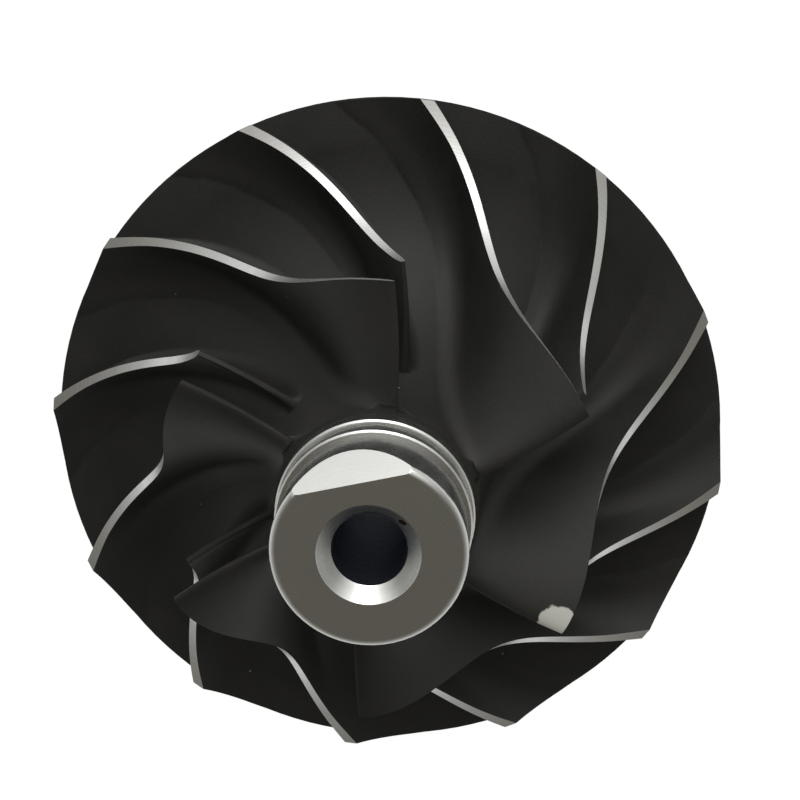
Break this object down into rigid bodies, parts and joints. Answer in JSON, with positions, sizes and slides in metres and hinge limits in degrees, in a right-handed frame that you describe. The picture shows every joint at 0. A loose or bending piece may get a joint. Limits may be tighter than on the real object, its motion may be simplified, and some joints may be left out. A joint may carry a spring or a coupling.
{
  "type": "compressor wheel",
  "caption": "Turbocharger compressor wheel: a cast bladed disc with backswept full and splitter blades, turned edges and a bored, shouldered nose.",
  "frame": {"origin": "bore axis at the plane of the back boss, on which the wheel stands", "axes": "+Z along the bore axis, from the back boss towards the nose"},
  "size_m": [0.0522, 0.0522, 0.0253],
  "materials": {
    "wheel": "dark satin casting, bright turned edges and nose"
  },
  "bodies": {
    "root": {"compressor_wheel": "wheel"}
  },
  "joints": []
}
